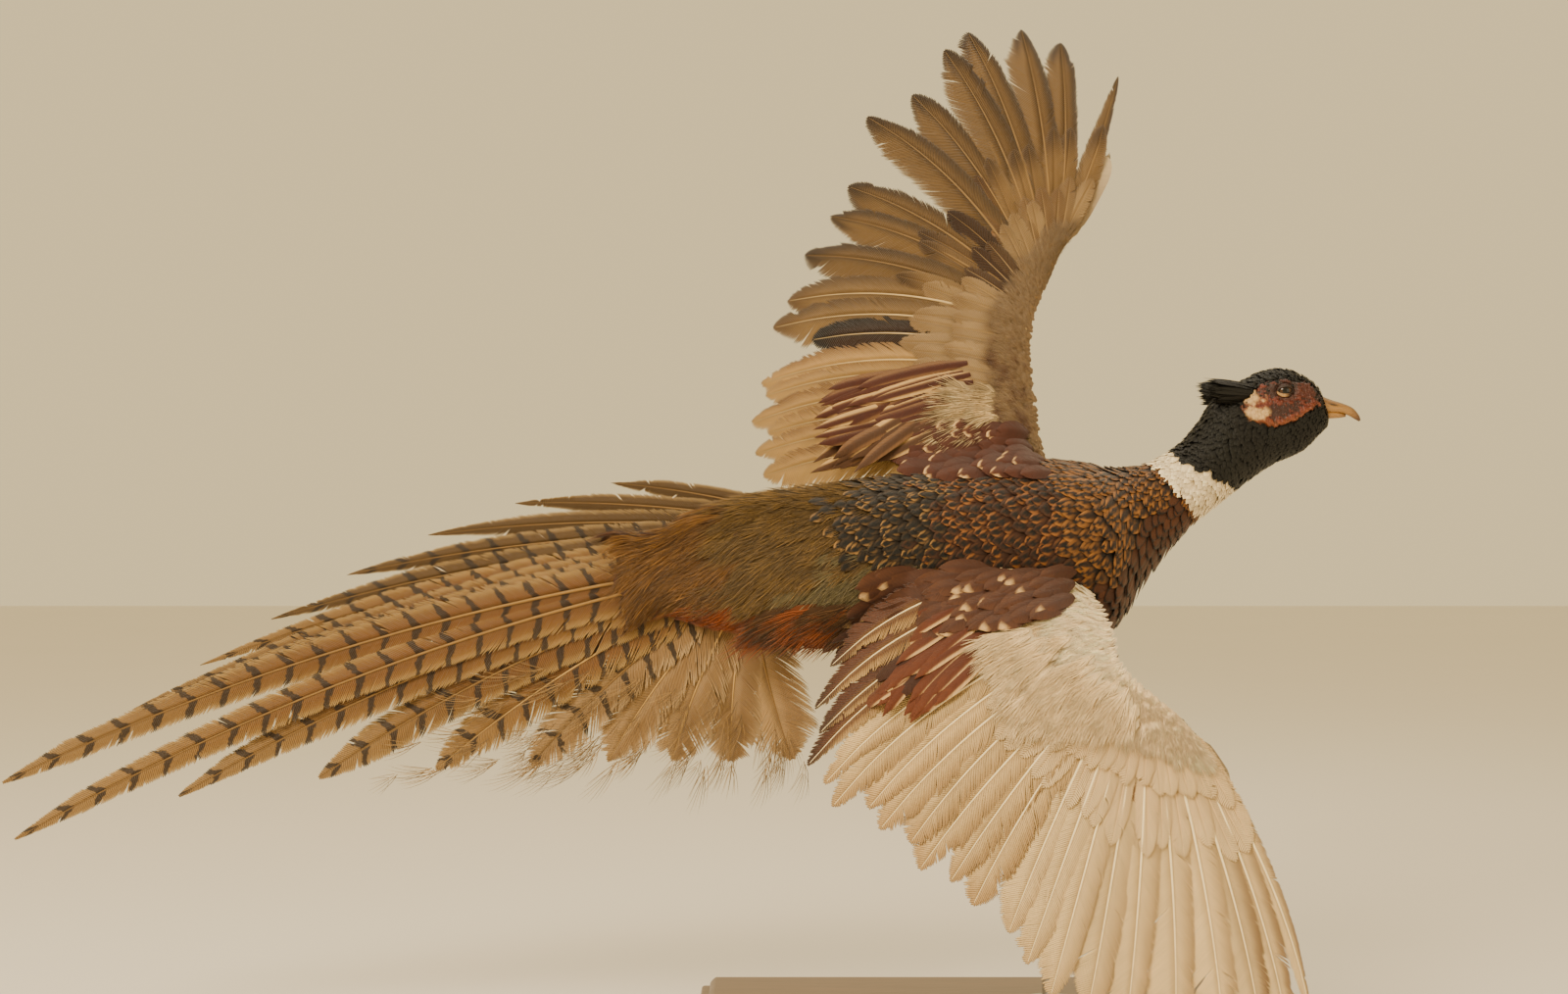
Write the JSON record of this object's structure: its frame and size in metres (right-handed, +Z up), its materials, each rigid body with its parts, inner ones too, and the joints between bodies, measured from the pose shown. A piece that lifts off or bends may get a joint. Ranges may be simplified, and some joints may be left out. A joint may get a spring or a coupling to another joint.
{
  "type": "taxidermy pheasant",
  "caption": "Life-size mounted cock pheasant in banking flight with spread wings and a long barred tail, on a wooden base with a steel rod.",
  "frame": {"origin": "middle of the underside of the stand's base", "axes": "+X towards the bird's flight and bill, the long side of the object; -Y towards the viewer of the bird's back; +Z up"},
  "size_m": [0.8577, 0.2891, 0.6657],
  "materials": {
    "body_plumage": "scalloped chestnut and golden contour feathers",
    "neck_plumage": "glossy black feathers with a white collar",
    "head_plumage": "glossy black feathers round a red wattled face",
    "wing_plumage": "pale buff flight feathers and maroon streaked coverts",
    "tail_plumage": "golden brown feathers with dark bars",
    "bill": "dry horn",
    "eye": "polished glass eye",
    "leg": "dry scaled skin and claws",
    "stand_wood": "satin varnish",
    "stand_steel": "dark brushed"
  },
  "bodies": {
    "root": {"trunk": "body_plumage", "neck": "neck_plumage", "head": "head_plumage", "ear_tuft_left": "head_plumage", "ear_tuft_right": "head_plumage", "bill_upper": "bill", "bill_lower": "bill", "eye_left": "eye", "eye_right": "eye", "wing_left_arm": "wing_plumage", "wing_left_hand": "wing_plumage", "wing_left_secondaries": "wing_plumage", "wing_left_primaries": "wing_plumage", "wing_right_arm": "wing_plumage", "wing_right_hand": "wing_plumage", "wing_right_secondaries": "wing_plumage", "wing_right_primaries": "wing_plumage", "tail_left": "tail_plumage", "tail_middle": "tail_plumage", "tail_right": "tail_plumage", "leg_left": "leg", "leg_right": "leg", "stand_base": "stand_wood", "stand_flange": "stand_steel", "stand_rod": "stand_steel"}
  },
  "joints": []
}
